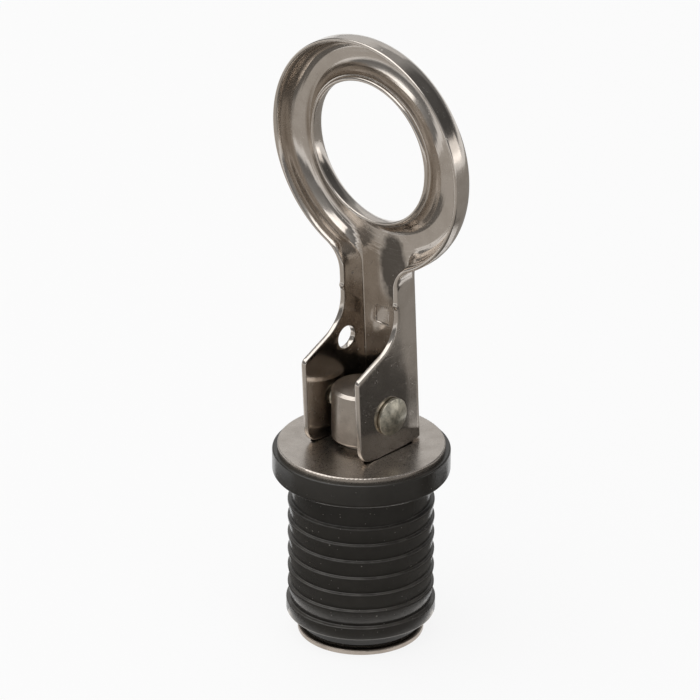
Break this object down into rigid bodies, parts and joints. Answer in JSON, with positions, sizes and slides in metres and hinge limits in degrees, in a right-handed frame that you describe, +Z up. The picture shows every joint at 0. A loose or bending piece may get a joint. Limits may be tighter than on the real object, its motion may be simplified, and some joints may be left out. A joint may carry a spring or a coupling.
{
  "type": "snap-handle drain plug",
  "caption": "Expanding rubber drain plug with a folding ring handle, a cross rivet, a steel washer and a screw for its fit.",
  "frame": {"origin": "on the plug's axis at the underside of the bottom plate", "axes": "+Z up the bolt, +X along the pivot rivet to its domed head, -Y the handle's open side and the side it folds to"},
  "size_m": [0.041, 0.03, 0.1076],
  "materials": {
    "bright_stainless": "bright stamped stainless sheet",
    "rivet_stainless": "plain domed head",
    "turned_stainless": "turned and tumbled",
    "washer_stainless": "satin, fine turned lines",
    "black_rubber": "semi-gloss moulded"
  },
  "bodies": {
    "plate": {"bottom_plate": "washer_stainless", "plate_nut": "turned_stainless"},
    "sleeve": {"rubber_sleeve": "black_rubber"},
    "washer": {"top_washer": "washer_stainless"},
    "bolt": {"eye_bolt": "turned_stainless"},
    "lever": {"handle": "bright_stainless", "pivot_rivet": "rivet_stainless"}
  },
  "joints": [
    {"name": "sleeve_squeeze", "type": "slide", "parent": "plate", "child": "sleeve", "axis": [0, 0, -1], "range_m": [0, 0.00254], "deforming": ["rubber_sleeve"]},
    {"name": "adjust_turn", "type": "hinge", "parent": "sleeve", "child": "bolt", "pos_m": [0, 0, 0.03415], "axis": [0, 0, -1], "range_deg": [0, 720]},
    {"name": "washer_press", "type": "slide", "parent": "sleeve", "child": "washer", "axis": [0, 0, -1], "range_m": [-0.0000201, 0.0005464], "deforming": ["rubber_sleeve"]},
    {"name": "lever_flip", "type": "hinge", "parent": "bolt", "child": "lever", "pos_m": [0, 0, 0.04202], "axis": [1, 0, 0], "range_deg": [-3.2, 86.8]}
  ],
  "couplings": [
    {"joint": "adjust_turn", "follows": "sleeve_squeeze", "rad_per_m": 4947.4},
    {"joint": "washer_press", "follows": "lever_flip", "m_per_rad": 0.00036067}
  ]
}
